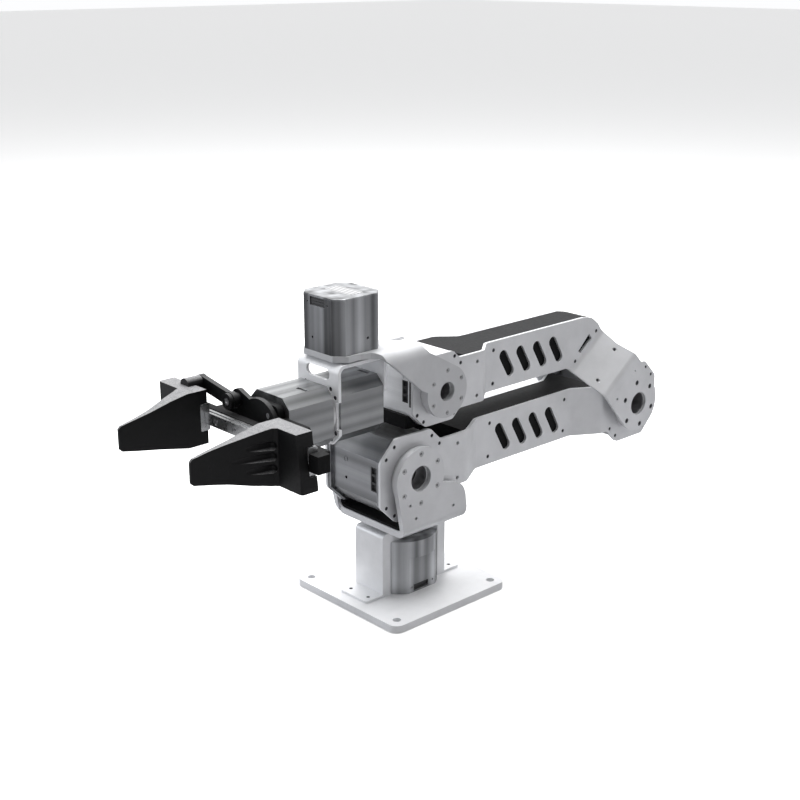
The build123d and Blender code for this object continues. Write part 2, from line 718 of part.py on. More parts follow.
def wrist_yoke():
    side = prism_xz(yoke_side_outline(), -60, 60) + rod_y(J4_X, J4_Z, YOKE_LOBE_R, -60, 60)
    shape = yoke_channel() & side & prism_xy(yoke_plan(), 100, 230)
    cuts = [rod_z(J5_X, 0, 16.4, 200, 215)]
    cuts += [rod_z(x, y, 1.55, 200, 215) for x, y in corner_points(J5_X, 0, SMALL_CORNERS)]
    cuts += [rod_y(J4_X, J4_Z, 7.4, -60, 60)]
    cuts += [rod_y(x, z, 2.0, -60, 60) for x, z in j4_bolts()]
    return less(shape, cuts)


def j4_flange():
    return flange_y(J4_X, J4_Z, MID_FLANGE_R, 18.5, 7.0, 22.4,
                    UP_END_OUT + RUN_GAP, YOKE_OUT - YOKE_T, j4_bolts())


def yoke_screws():
    out = [plate_screw(x, z, 1.95, YOKE_OUT, YOKE_T, 1.5, 4.0) for x, z in j4_bolts()]
    out += [mirrored(s) for s in out]
    for x, y in corner_points(J5_X, 0, SMALL_CORNERS):
        out.append(rod_z(x, y, 1.5, 205.6, 214.0))
    return out


def j5_housing():
    body = prism_xy(octagon(J5_X, 0, J5_HALF, J5_FLAT), WEB_TOP, J5_TOP)
    body = body - rod_z(J5_X, 0, 16.6, WEB_TOP - 1, J5_TOP - 3)
    x = J5_X + SMALL_HALF
    cuts = [block(x - 3.0, x + 1, -8.0, 8.5, 243.5, J5_TOP - 0.5)]
    cuts += [rod_z(a, b, 1.55, 205, 214.2) for a, b in corner_points(J5_X, 0, SMALL_CORNERS)]
    cuts += [rod_x(-6.0, 220.0, 1.0, x - 2, x + 1), rod_y(52.5, 219.8, 1.0, 20, 23)]
    cuts += [rod_x(y, 245.6, 0.7, x - 2, x + 1) for y in (11.1, -11.0)]
    return less(body, cuts)


def j5_cap():
    cap = prism_xy(octagon(J5_X, 0, J5_HALF, J5_FLAT), J5_TOP, J5_TOP + CAP_T)
    return chamfer(cap.faces().sort_by(Axis.Z)[-1].edges(), 0.4)


def j5_core():
    return rod_z(J5_X, 0, 16.5, 217.0, J5_TOP - 3.2) - rod_z(J5_X, 0, 4.0, 210, 250)


# ---- hand bracket ----

def j5_flange():
    disc = rod_z(J5_X, 0, 18.0, HAND_TOP, WEB_TOP - YOKE_T - RUN_GAP)
    hub = rod_z(J5_X, 0, 15.9, WEB_TOP - YOKE_T - RUN_GAP, 215.5)
    shape = disc + hub - rod_z(J5_X, 0, 5.0, 200, 220)
    return less(shape, [rod_z(x, y, 1.45, 200, 209) for x, y in circle_points(J5_X, 0, 12.0, 6, 30)])


def hand_bracket():
    # folded sheet: top flange with a plate hanging down at each end
    low = J6_Z - HAND_HALF
    outer = block(HAND_REAR, HAND_X, -HAND_HALF, HAND_HALF, low, HAND_TOP)
    outer = fillet(outer.edges().filter_by(Axis.Y).group_by(Axis.Z)[-1], HAND_BEND_R)
    inner = block(HAND_REAR + HAND_T, HAND_X - HAND_T, -30, 30, low - 1, HAND_TOP - HAND_T)
    inner = fillet(inner.edges().filter_by(Axis.Y).group_by(Axis.Z)[-1], HAND_BEND_R - HAND_T)
    face = prism_yz(octagon(0, J6_Z, HAND_HALF, 14.9), 0, 100)
    face = face + block(0, 100, -HAND_HALF, HAND_HALF, J6_Z, 230)
    shape = (outer - inner) & face
    notch = block(0, 100, HAND_HALF - 2.6, 40, J6_Z - 10.3, J6_Z + 10.3)
    open_rear = block(30, J6_REAR, -30, 30, 100, J6_Z + 10.3)
    cuts = [notch, mirrored(notch), open_rear, rod_x(0, J6_Z, 16.4, 30, 90)]
    oval = block(70, 90, -9.0, 9.0, 191.4, 199.6)
    oval = oval + rod_x(-9.0, 195.5, 4.1, 70, 90) + rod_x(9.0, 195.5, 4.1, 70, 90)
    cuts += [oval]
    cuts += [rod_x(y, z, 1.7, 70, 90) for y, z in hand_corners()]
    cuts += [rod_z(x, y, 1.7, 195, 210) for x, y in circle_points(J5_X, 0, 12.0, 6, 30)]
    return less(shape, cuts)


def hand_corners():
    return corner_points(0, J6_Z, [(14.0, 18.9), (18.9, 13.4)])


def hand_screws():
    out = []
    for y, z in hand_corners():
        out.append(socket_x(y, z, 1.65, HAND_X - 0.3, HAND_X - HAND_T, 0.9)
                   + rod_x(y, z, 1.0, 72.0, HAND_X - HAND_T))
    for x, y in circle_points(J5_X, 0, 12.0, 6, 30):
        out.append(rod_z(x, y, 1.4, HAND_TOP - HAND_T + 0.3, 208.6))
    return out


def j6_housing():
    flat = SMALL_HALF - SMALL_CHAMFER
    front = HAND_X - HAND_T
    body = prism_yz(octagon(0, J6_Z, SMALL_HALF, flat), J6_REAR, front)
    body = body - rod_x(0, J6_Z, 16.6, J6_REAR + 4, front + 1)
    cuts = [rod_x(y, z, 1.05, 71.5, 80) for y, z in hand_corners()]
    top = J6_Z + SMALL_HALF
    cuts += [block(40.4, 43.4, -0.8, 10.8, top - 2.4, top + 1)]
    return less(body, cuts)


def j6_core():
    return rod_x(0, J6_Z, 16.5, J6_REAR + 4.2, 70.0) - rod_x(0, J6_Z, 4.0, 30, 80)


# ---- gripper base ----

def j6_flange():
    disc = rod_x(0, J6_Z, 20.4, HAND_X + RUN_GAP, GRIP_REAR)
    hub = rod_x(0, J6_Z, 15.9, 71.0, HAND_X + RUN_GAP)
    return disc + hub - rod_x(0, J6_Z, 5.0, 60, 95)


def grip_housing():
    flat = SMALL_HALF - SMALL_CHAMFER
    body = prism_yz(octagon(0, J6_Z, SMALL_HALF, flat), GRIP_REAR, GRIP_FRONT)
    body = body - rod_x(0, J6_Z, 16.6, GRIP_REAR + 4, GRIP_FRONT + 1)
    top = J6_Z + SMALL_HALF
    return body - block(101.2, 103.8, 3.0, 14.0, top - 2.4, top + 1)


def grip_core():
    return rod_x(0, J6_Z, 16.5, GRIP_REAR + 4.2, 122.0) - rod_x(0, J6_Z, 4.0, 80, 130)


def grip_frame():
    plate = block(GRIP_FRONT, FRAME_FRONT, -17.5, 17.5, J6_Z - 17.0, J6_Z + 17.0)
    plate = fillet(plate.edges().filter_by(Axis.X), 5.0)
    wings = block(GRIP_FRONT, FRAME_FRONT, -46.0, 46.0, J6_Z - 8.5, J6_Z + 8.5)
    wings = fillet(wings.edges().filter_by(Axis.X), 3.0)
    posts = block(FRAME_FRONT, BAR_X0, 36.0, 46.0, J6_Z - 4.6, J6_Z + 4.6)
    shape = plate + wings + posts + mirrored(posts)
    return shape - rod_x(0, J6_Z, 12.0, 120, 140)


def rail_bar():
    bar = block(BAR_X0, BAR_X1, -RAIL_HALF_L, RAIL_HALF_L, J6_Z - 5.0, J6_Z + 5.0)
    bar = chamfer(bar.edges().filter_by(Axis.X), 0.8)
    ends = block(BAR_X1 - 0.5, CAR_X1 - 0.4, RAIL_END_Y0, RAIL_END_Y1, J6_Z - 6.2, J6_Z + 6.2)
    ends = ends - block(BAR_X1 - 1, RAIL_X1 + 0.05, 70, RAIL_HALF_L + 0.1, J6_Z - 4.55, J6_Z + 4.55)
    shape = bar + ends + mirrored(ends)
    return less(shape, [rod_x(y, J6_Z, 1.4, 130, 148) for y in rail_holes()])


def rail_holes():
    return [-70.7, -49.1, -27.6, -6.2, 15.2, 36.6, 58.0]


def linear_rail():
    rail = block(BAR_X1, RAIL_X1, -RAIL_HALF_L, RAIL_HALF_L, J6_Z - RAIL_HALF_W, J6_Z + RAIL_HALF_W)
    groove = block(147.6, 149.2, -90, 90, J6_Z + RAIL_HALF_W - 0.7, J6_Z + RAIL_HALF_W + 1)
    rail = rail - groove - turned(groove, 0, J6_Z)
    cuts = [rod_x(y, J6_Z, 1.5, 140, 155) for y in rail_holes()]
    cuts += [rod_x(y, J6_Z, 2.9, 148.4, 155) for y in rail_holes()]
    return less(rail, cuts)


def rail_screws():
    out = []
    for y in rail_holes():
        out.append(socket_x(y, J6_Z, 2.7, 151.0, 148.4, 1.2) + rod_x(y, J6_Z, 1.35, 138.9, 148.4))
    return out


# ---- crank and connecting links ----

def crank_pins():
    return [(-CRANK_PIN_Y, J6_Z + CRANK_PIN_Z), (CRANK_PIN_Y, J6_Z - CRANK_PIN_Z)]


def crank_arm(y, z):
    length = math.hypot(y, z - J6_Z)
    ux, uz = y / length, (z - J6_Z) / length
    wide, tip = 13.0, 7.4
    pts = [(-uz * wide, J6_Z + ux * wide), (y - uz * tip, z + ux * tip),
           (y + uz * tip, z - ux * tip), (uz * wide, J6_Z - ux * wide)]
    arm = prism_yz(pts, CRANK_X0, CRANK_X1) + rod_x(y, z, tip, CRANK_X0, CRANK_X1)
    boss = rod_x(y, z, 4.6, CRANK_X1, LINK_X0 - 0.3)
    pin = rod_x(y, z, 2.5, LINK_X0 - 0.4, LINK_X1 + 0.4)
    cap = rod_x(y, z, 5.8, LINK_X1 + 0.3, 144.6) - rod_x(y, z, 2.9, 143.4, 146)
    return arm + boss + pin + cap


def crank():
    hub = rod_x(0, J6_Z, CRANK_HUB_R, CRANK_X0, CRANK_X1)
    shaft = rod_x(0, J6_Z, 11.6, 122.5, CRANK_X0)
    shape = joined([hub, shaft] + [crank_arm(y, z) for y, z in crank_pins()])
    return less(shape, [rod_x(y, z, 2.1, 131.6, 136) for y, z in hub_screw_points()])


def hub_screw_points():
    return [(10.0, J6_Z + 10.0), (-10.0, J6_Z - 10.0)]


def crank_screws():
    out = []
    for y, z in crank_pins():
        out.append(socket_x(y, z, 2.8, 144.4, 143.4, 0.5))
    for y, z in hub_screw_points():
        out.append(socket_x(y, z, 2.0, CRANK_X1 - 0.3, 131.6, 0.8))
    return out


def link_upper():
    y0, z0 = crank_pins()[0]
    y1, z1 = -FINGER_PIN_Y, J6_Z + FINGER_PIN_Z
    length = math.hypot(y1 - y0, z1 - z0)
    uy, uz = (y1 - y0) / length, (z1 - z0) / length
    w = 5.0
    pts = [(y0 - uz * w, z0 + uy * w), (y1 - uz * w, z1 + uy * w),
           (y1 + uz * w, z1 - uy * w), (y0 + uz * w, z0 - uy * w)]
    bar = prism_yz(pts, LINK_X0, LINK_X1)
    eyes = rod_x(y0, z0, 6.2, LINK_X0, LINK_X1) + rod_x(y1, z1, 5.4, LINK_X0, LINK_X1)
    shape = bar + eyes - rod_x(y0, z0, 2.56, 130, 150)
    head = socket_x(y1, z1, 3.4, LINK_X0 - 2.0, LINK_X0, 1.0)
    return shape + head


def link_lower():
    return turned(link_upper(), 0, J6_Z)


# ---- fingers ----

def carriage_right():
    # the carriage on the -Y side
    body = block(CAR_X0, CAR_X1, -CAR_Y1, -CAR_Y0, J6_Z - CAR_HALF_W, J6_Z + CAR_HALF_W)
    body = chamfer(body.edges().filter_by(Axis.Y), 0.8)
    gap = RAIL_HALF_W + 0.12
    body = body - block(140, RAIL_X1 + 0.15, -90, 0, J6_Z - gap, J6_Z + gap)
    lip = block(147.75, 149.05, -CAR_Y1, -CAR_Y0, J6_Z + gap - 0.6, J6_Z + gap + 0.4)
    body = body + lip + turned(lip, -(CAR_Y0 + CAR_Y1) / 2, J6_Z)
    cuts = []
    for y in (-CAR_Y1 + 4.0, -CAR_Y0 - 4.0):
        ring = block(140, 158, y - 0.2, y + 0.2, 150, 180)
        ring = ring - block(140, CAR_X1 - 0.4, y - 1, y + 1, J6_Z - 9.6, J6_Z + 9.6)
        cuts.append(ring)
    cuts += [rod_x(y, z, 1.25, 152.0, 156) for y, z in finger_screw_points()]
    return less(body, cuts)


def finger_screw_points():
    return [(sy, J6_Z + sz) for sy in (-52.0, -69.0) for sz in (8.0, -8.0)]


def finger_plan():
    return [(FINGER_X0, -FINGER_IN), (FINGER_X0, -FINGER_OUT_TOP), (FINGER_BLOCK_X - 1.5, -FINGER_OUT_TOP),
            (FINGER_BLOCK_X, -FINGER_OUT_TOP + 1.5), (FINGER_BLOCK_X, -58.0), (164.5, -56.2),
            (170.0, -54.0), (182.0, -50.3), (194.0, -46.9), (206.0, -44.7), (FINGER_TIP_X, -43.3),
            (FINGER_TIP_X, -FINGER_IN)]


def finger_side():
    return [(FINGER_X0, 146.6), (166.0, 146.6), (190.0, 151.8), (206.0, 154.8), (219.5, 157.6),
            (FINGER_TIP_X, 159.6), (FINGER_TIP_X, 174.0), (219.5, 175.9), (196.0, 180.4),
            (179.7, 184.4), (165.5, 187.0), (FINGER_X0, 187.0)]


def finger_end():
    return [(-40.0, 140.0), (-40.0, 190.0), (-FINGER_OUT_TOP, 190.0), (-FINGER_OUT_TOP, 184.0),
            (-FINGER_OUT, 150.0), (-FINGER_OUT, 140.0)]


def finger_lug():
    z = J6_Z + FINGER_PIN_Z
    lug = block(142.0, FINGER_X0 + 0.5, -65.2, -54.8, J6_Z + CAR_HALF_W + 1.2, z)
    lug = lug + rod_x(-FINGER_PIN_Y, z, 5.2, 142.0, FINGER_X0 + 6)
    return lug


def scoop(x0, y0, x1, y1, z, r):
    # round-ended pocket that runs out of the sloping side towards the finger tip
    length = math.hypot(x1 - x0, y1 - y0)
    place = Plane(origin=(x0, y0, z), z_dir=(x1 - x0, y1 - y0, 0))
    run = place * Cylinder(r, length, align=(Align.CENTER, Align.CENTER, Align.MIN))
    return run + Pos(x0, y0, z) * Sphere(r)


def finger_right():
    body = prism_xy(finger_plan(), 140, 200) & prism_xz(finger_side(), -90, -40)
    body = body & prism_yz(finger_end(), 140, 230)
    pocket = block(140, CAR_X1, -90, -30, J6_Z - CAR_HALF_W - 0.2, J6_Z + CAR_HALF_W + 0.2)
    body = body - pocket + finger_lug()
    z = J6_Z
    cuts = [scoop(165.6, -55.6, 183.5, -53.0, z + side, SCOOP_R) for side in (8.0, -8.0)]
    cuts.append(scoop(165.6, -55.6, 209.0, -47.4, z - 0.5, SCOOP_R))
    cuts += [rod_x(y, zz, 1.6, 150, 160) for y, zz in finger_screw_points()]
    return less(body, cuts)


def finger_right_screws():
    # studs that hold the finger to its carriage, hidden inside the block
    return [rod_x(y, z, 1.2, 152.2, 159.8) for y, z in finger_screw_points()]


def opposite(shapes):
    # the left finger set is the right one turned half a turn about the gripper axis
    return [turned(s, 0, J6_Z) for s in shapes]


save("base_plate", [base_plate()])
save("base_tower", [base_tower()])
save("foot_screws", foot_screws())
save("j1_housing", [j1_housing()])
save("j1_core", [j1_core()])
save("j1_connector", [connector_y(-6.6, 9.0, 22.4, 24.8, 7.4, 12.4)])
save("j1_flange", [j1_flange()])
save("shoulder_bracket", [shoulder_bracket()])
save("shoulder_liner", [shoulder_liner()])
save("j2_flanges", [j2_flange(), mirrored(j2_flange())])
save("shoulder_screws", shoulder_screws())
save("lower_plate_left", [lower_plate()])
save("lower_plate_right", [mirrored(lower_plate())])
save("lower_cover", [lower_cover()])
save("lower_screws", lower_screws())
save("j2_housing", [j2_housing()])
save("j2_core", [core_y(J2_X, J2_Z, 22.2, 23.6, 6.0)])
save("j2_connector", [plug_x(43.2, 46.0, 17.2, 24.2, 99.0, 118.4, 1)])
save("j3_housing", [j3_housing()])
save("j3_core", [core_y(J3_X, J3_Z, 22.2, 23.6, 6.0)])
save("j3_connector", [plug_x(J3_X - 29.8, J3_X - 27.0, 17.2, 24.2, 98.5, 117.9, -1)])
save("j3_flanges", [j3_flange(), mirrored(j3_flange())])
save("forearm_plate_left", [forearm_plate()])
save("forearm_plate_right", [mirrored(forearm_plate())])
save("forearm_cover", [forearm_cover(), rest_pad()])
save("forearm_screws", forearm_screws())
save("j4_housing", [j4_housing()])
save("j4_core", [core_y(J4_X, J4_Z, 18.8, 21.6, 5.0)])
save("j4_connector", j4_connector())
save("j4_flanges", [j4_flange(), mirrored(j4_flange())])
save("wrist_yoke", [wrist_yoke()])
save("yoke_screws", yoke_screws())
save("j5_housing", [j5_housing()])
save("j5_cap", [j5_cap()])
save("j5_core", [j5_core()])
save("j5_connector", [plug_x(77.1, 79.8, -8.0, 8.5, 243.5, J5_TOP - 0.5, 1)])
save("j5_flange", [j5_flange()])
save("hand_bracket", [hand_bracket()])
save("hand_screws", hand_screws())
save("j6_housing", [j6_housing()])
save("j6_core", [j6_core()])
save("j6_connector", [block(40.4, 43.4, -0.8, 10.8, J6_Z + SMALL_HALF - 2.4, J6_Z + SMALL_HALF - 0.7)])
save("j6_flange", [j6_flange()])
save("grip_housing", [grip_housing()])
save("grip_core", [grip_core()])
save("grip_connector", [block(101.2, 103.8, 3.0, 14.0, J6_Z + SMALL_HALF - 2.4, J6_Z + SMALL_HALF - 0.7)])
save("grip_frame", [grip_frame()])
save("rail_bar", [rail_bar()])
save("linear_rail", [linear_rail()])
save("rail_screws", rail_screws())
save("crank", [crank()])
save("crank_screws", crank_screws())
save("link_upper", [link_upper()])
save("link_lower", [link_lower()])
save("carriage_right", [carriage_right()])
save("finger_right", [finger_right()])
save("finger_right_screws", finger_right_screws())
save("carriage_left", opposite([carriage_right()]))
save("finger_left", opposite([finger_right()]))
save("finger_left_screws", opposite(finger_right_screws()))
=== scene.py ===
import json
import math
import bpy
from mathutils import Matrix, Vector


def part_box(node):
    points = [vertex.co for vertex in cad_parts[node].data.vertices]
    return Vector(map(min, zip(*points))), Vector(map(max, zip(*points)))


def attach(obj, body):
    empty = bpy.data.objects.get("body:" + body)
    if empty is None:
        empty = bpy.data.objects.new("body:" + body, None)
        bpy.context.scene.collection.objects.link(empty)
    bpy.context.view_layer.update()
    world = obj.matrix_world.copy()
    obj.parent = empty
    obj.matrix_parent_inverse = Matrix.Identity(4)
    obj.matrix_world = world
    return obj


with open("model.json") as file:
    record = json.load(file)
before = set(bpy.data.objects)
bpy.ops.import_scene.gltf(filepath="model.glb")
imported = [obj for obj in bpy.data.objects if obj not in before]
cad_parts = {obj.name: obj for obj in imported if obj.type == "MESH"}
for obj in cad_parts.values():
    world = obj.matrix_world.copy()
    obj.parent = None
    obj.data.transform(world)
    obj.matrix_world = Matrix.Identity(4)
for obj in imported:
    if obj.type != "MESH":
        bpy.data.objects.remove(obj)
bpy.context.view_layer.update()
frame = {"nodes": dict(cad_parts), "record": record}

# Lengths are metres; MM turns millimetres into metres.
MM = 0.001

# ---- camera ----
LENS_MM = 60.6
SENSOR_MM = 36.0
CLIP_NEAR, CLIP_FAR = 0.01, 50
CAMERA_PLACE = (0.66529, 0.71929, 0.47609)
CAMERA_TARGET = (0.00062, 0.0, 0.15619)

# ---- studio ----
FLOOR_HALF = 12.0
FLOOR_Z = -0.0004
FLOOR_GRAIN_SCALE = 900.0
PAPER_LOW = (0.95, 0.95, 0.95)
PAPER_HIGH = (0.97, 0.97, 0.97)
FLOOR_BOUNCE = (0.42, 0.42, 0.43)
FLOOR_GLOW = 0.30
WORLD_TINT = (0.985, 0.99, 1, 1)
WORLD_FRONT = (0.68, 0.73, 0.05)
# (from, to, strength at from, strength at to) along the way towards WORLD_FRONT
WORLD_NEAR = (-0.1, 0.85, 0.40, 0.26)
WORLD_FAR = (-0.85, -0.35, 1.0, 0.0)
WHITE = (1, 1, 1)
# name, place, target, size, power, colour
LAMPS = [
    ("top", (-0.25, -0.35, 1.7), (-0.05, 0, 0.1), (2.0, 2.0), 54, WHITE),
    ("side", (1.0, -1.5, 0.55), (0, 0, 0.15), (1.3, 0.9), 9, (0.90, 0.94, 1)),
    ("back", (-1.6, 0.9, 0.7), (-0.05, 0, 0.15), (1.0, 0.8), 1.0, WHITE),
]

# ---- material detail: noise scales per metre, and what the noise is mapped to ----
NOISE_LOW, NOISE_HIGH = 0.3, 0.7
MOTTLE_SCALE = 38.0
PATCH_SCALE = 420.0
LINE_SCALE = 1400.0
# width of the painted reflection bands across brushed metal
REFLECTION_BAND_SCALE = 95.0
GRAIN_SCALE = 2600
LINE_STRETCH = 0.012
LINE_TONE = 0.05
BEVEL_SAMPLES = 4
EDGE_NONE, EDGE_FULL = 0.995, 0.80
EDGE_LIFT, EDGE_MOST = 0.008, 0.97
WEAR_RAMP = (0.35, 0.65, 0.35, 0.9)
WEAR_POLISH = 0.08
ROUGH_SPREAD = 0.05
BUMP_DEPTH = 0.03 * MM
# painted top light: the pale grey, the up-facing ramp, and the patch and grain ramps that break it
# up
PAINTED_TOP_COLOUR = (0.45, 0.45, 0.46)
PAINTED_TOP_UP = (0.5, 1.0)
PAINTED_TOP_PATCH_RAMP = (0.2, 0.8, 0.75, 1.25)
PAINTED_TOP_GRAIN_RAMP = (NOISE_LOW, NOISE_HIGH, 0.6, 1.4)

# ---- plain rating plate on the upright motor's cap ----
TAG_HALF_X, TAG_HALF_Y = 6.5 * MM, 14.0 * MM
TAG_SHIFT_X, TAG_SHIFT_Y = -2 * MM, 1 * MM
TAG_CORNER = 1.2 * MM
TAG_THICK = 0.12 * MM
TAG_GAP = 0.01 * MM
TAG_SHOULDER = 0.7
TAG_INSET_X, TAG_INSET_Y = 0.985, 0.993
TAG_POINTS = 24
TAG_BAR_PITCH = 3.2 * MM
TAG_BAR_FROM, TAG_BAR_TO = 0.25, 0.8
TAG_GROUND = (0.20, 0.20, 0.21)
TAG_BAR_TONES = (0.50, 0.58)
TAG_ROUGHNESS = (0.38, 0.5)
TAG_GRAIN_SCALE = 3000.0


# ---------------------------------------------------------------- camera
def make_camera():
    data = bpy.data.cameras.new("camera")
    data.lens = LENS_MM
    data.sensor_width = SENSOR_MM
    data.clip_start = CLIP_NEAR
    data.clip_end = CLIP_FAR
    cam = bpy.data.objects.new("camera", data)
    bpy.context.scene.collection.objects.link(cam)
    aim(cam, CAMERA_PLACE, CAMERA_TARGET)
    bpy.context.scene.camera = cam


def aim(obj, place, target):
    """Put an object at place with its -Z axis towards target."""
    obj.location = place
    obj.rotation_mode = "QUATERNION"
    obj.rotation_quaternion = (Vector(target) - obj.location).to_track_quat("-Z", "Y")


# ---------------------------------------------------------------- node helpers
class Tree:
    """Short calls for adding and joining shader nodes; a value may be a socket or a constant."""

    def __init__(self, owner):
        owner.use_nodes = True
        self.nodes = owner.node_tree.nodes
        self.links = owner.node_tree.links

    def add(self, kind, values=None, **settings):
        node = self.nodes.new(kind)
        for key, value in settings.items():
            setattr(node, key, value)
        for key, value in (values or {}).items():
            if isinstance(value, bpy.types.NodeSocket):
                self.links.new(value, node.inputs[key])
            else:
                node.inputs[key].default_value = value
        return node

    def coords(self, kind):
        return self.add("ShaderNodeTexCoord").outputs[kind]

    def camera_ray(self):
        return self.add("ShaderNodeLightPath").outputs["Is Camera Ray"]

    def maths(self, operation, a, b=0.0):
        return self.add("ShaderNodeMath", {0: a, 1: b}, operation=operation).outputs[0]

    def dot(self, a, b):
        node = self.add("ShaderNodeVectorMath", {0: a, 1: b}, operation="DOT_PRODUCT")
        return node.outputs["Value"]

    def ramp(self, value, low, high, out_low=0.0, out_high=1.0):
        node = self.add("ShaderNodeMapRange", {"Value": value, "From Min": low, "From Max": high,
                                               "To Min": out_low, "To Max": out_high})
        return node.outputs["Result"]

    def around(self, noise, centre, spread):
        """Noise mapped to centre, give or take spread."""
        return self.ramp(noise, NOISE_LOW, NOISE_HIGH, centre - spread, centre + spread)

    def grey(self, value):
        return self.add("ShaderNodeCombineColor", {0: value, 1: value, 2: value}).outputs[0]

    def mix(self, fac, a, b, blend="MIX"):
        node = self.add("ShaderNodeMix", data_type="RGBA", blend_type=blend)
        for socket, value in ((node.inputs[0], fac), (node.inputs[6], a), (node.inputs[7], b)):
            if isinstance(value, bpy.types.NodeSocket):
                self.links.new(value, socket)
            elif socket.type == "VALUE":
                socket.default_value = value
            else:
                socket.default_value = (*value, 1)
        return node.outputs[2]

    def noise(self, coords, scale, detail=2.0, rough=0.5, stretch=(1, 1, 1)):
        mapping = self.add("ShaderNodeMapping", {"Vector": coords, "Scale": stretch})
        node = self.add("ShaderNodeTexNoise", {"Vector": mapping.outputs[0], "Scale": scale,
                                               "Detail": detail, "Roughness": rough})
        return node.outputs["Fac"]


def stretched(axis, factor):
    """Mapping scale that draws a texture out along one axis."""
    return tuple(factor if name == axis else 1 for name in "xyz")


# ---------------------------------------------------------------- stage and light
def floor_material():
    """White paper: full tone for the camera, darker for bounced and mirrored light."""
    mat = bpy.data.materials.new("floor_paper")
    t = Tree(mat)
    b = t.nodes["Principled BSDF"]
    grain = t.noise(t.coords("Object"), FLOOR_GRAIN_SCALE, 3.0)
    seen = t.camera_ray()
    colour = t.mix(seen, FLOOR_BOUNCE, t.mix(grain, PAPER_LOW, PAPER_HIGH))
    t.links.new(colour, b.inputs["Base Color"])
    b.inputs["Roughness"].default_value = 0.9
    b.inputs["Specular IOR Level"].default_value = 0.2
    b.inputs["Emission Color"].default_value = (1, 1, 1, 1)
    t.links.new(t.maths("MULTIPLY", seen, FLOOR_GLOW), b.inputs["Emission Strength"])
    return mat


def make_floor():
    s, z = FLOOR_HALF, FLOOR_Z
    mesh = bpy.data.meshes.new("floor")
    mesh.from_pydata([(-s, -s, z), (s, -s, z), (s, s, z), (-s, s, z)], [], [(0, 1, 2, 3)])
    mesh.materials.append(floor_material())
    floor = bpy.data.objects.new("floor", mesh)
    bpy.context.scene.collection.objects.link(floor)


def area_light(name, place, target, size, power, colour):
    data = bpy.data.lights.new(name, "AREA")
    data.shape = "RECTANGLE"
    data.size, data.size_y = size
    data.energy = power
    data.color = colour
    lamp = bpy.data.objects.new(name, data)
    bpy.context.scene.collection.objects.link(lamp)
    aim(lamp, place, target)
    lamp.visible_camera = False


def make_world():
    """White for the camera; for other rays a dim sky that is brighter behind the arm."""
    world = bpy.data.worlds.new("studio")
    bpy.context.scene.world = world
    t = Tree(world)
    bg = t.nodes["Background"]
    front = t.dot(t.coords("Generated"), WORLD_FRONT)
    dim = t.maths("ADD", t.ramp(front, *WORLD_NEAR), t.ramp(front, *WORLD_FAR))
    strength = t.add("ShaderNodeMix", {0: t.camera_ray(), 2: dim, 3: 1.0}, data_type="FLOAT")
    t.links.new(strength.outputs[0], bg.inputs["Strength"])
    bg.inputs["Color"].default_value = WORLD_TINT


# ---------------------------------------------------------------- materials
def brushed(t, where, fine, axis, amount, reflection_band):
    """Tone and bump height of brushing along one axis, with broad painted reflection bands across
    it.
    """
    lines = t.noise(where, LINE_SCALE, 3.0, 0.7, stretched(axis, LINE_STRETCH))
    # painted reflection: broad light and dark bands across the brushing, put into the tone
    reflection_sweep = t.noise(where, REFLECTION_BAND_SCALE, 1.0, 0.5, stretched(axis, 0.0))
    height = t.maths("ADD", t.maths("MULTIPLY", fine, 1 - amount),
                     t.maths("MULTIPLY", lines, amount * 2.0))
    tone = t.maths("MULTIPLY", t.around(reflection_sweep, 1, reflection_band), t.around(lines, 1, LINE_TONE))
    return tone, height


def edge_wear(t, soft, patch):
    """How worn the surface is: only near edges, and there in patches."""
    true = t.add("ShaderNodeNewGeometry").outputs["Normal"]
    edge = t.ramp(t.dot(soft, true), EDGE_NONE, EDGE_FULL)
    return t.maths("MULTIPLY", edge, t.ramp(patch, *WEAR_RAMP))


def painted_top_light(t, base, fine, patch, painted_top_amount):
    """Painted top light: a pale grey painted on the faces that point up when the arm rests, broken
    into patches and grain.
    """
    up = t.add("ShaderNodeSeparateXYZ", {0: t.coords("Normal")}).outputs[2]
    painted_top_mask = t.maths("MULTIPLY", t.ramp(up, *PAINTED_TOP_UP, 0.0, painted_top_amount), t.ramp(patch, *PAINTED_TOP_PATCH_RAMP))
    painted_top_mask = t.maths("MULTIPLY", painted_top_mask, t.ramp(fine, *PAINTED_TOP_GRAIN_RAMP))
    return t.mix(painted_top_mask, base, PAINTED_TOP_COLOUR)


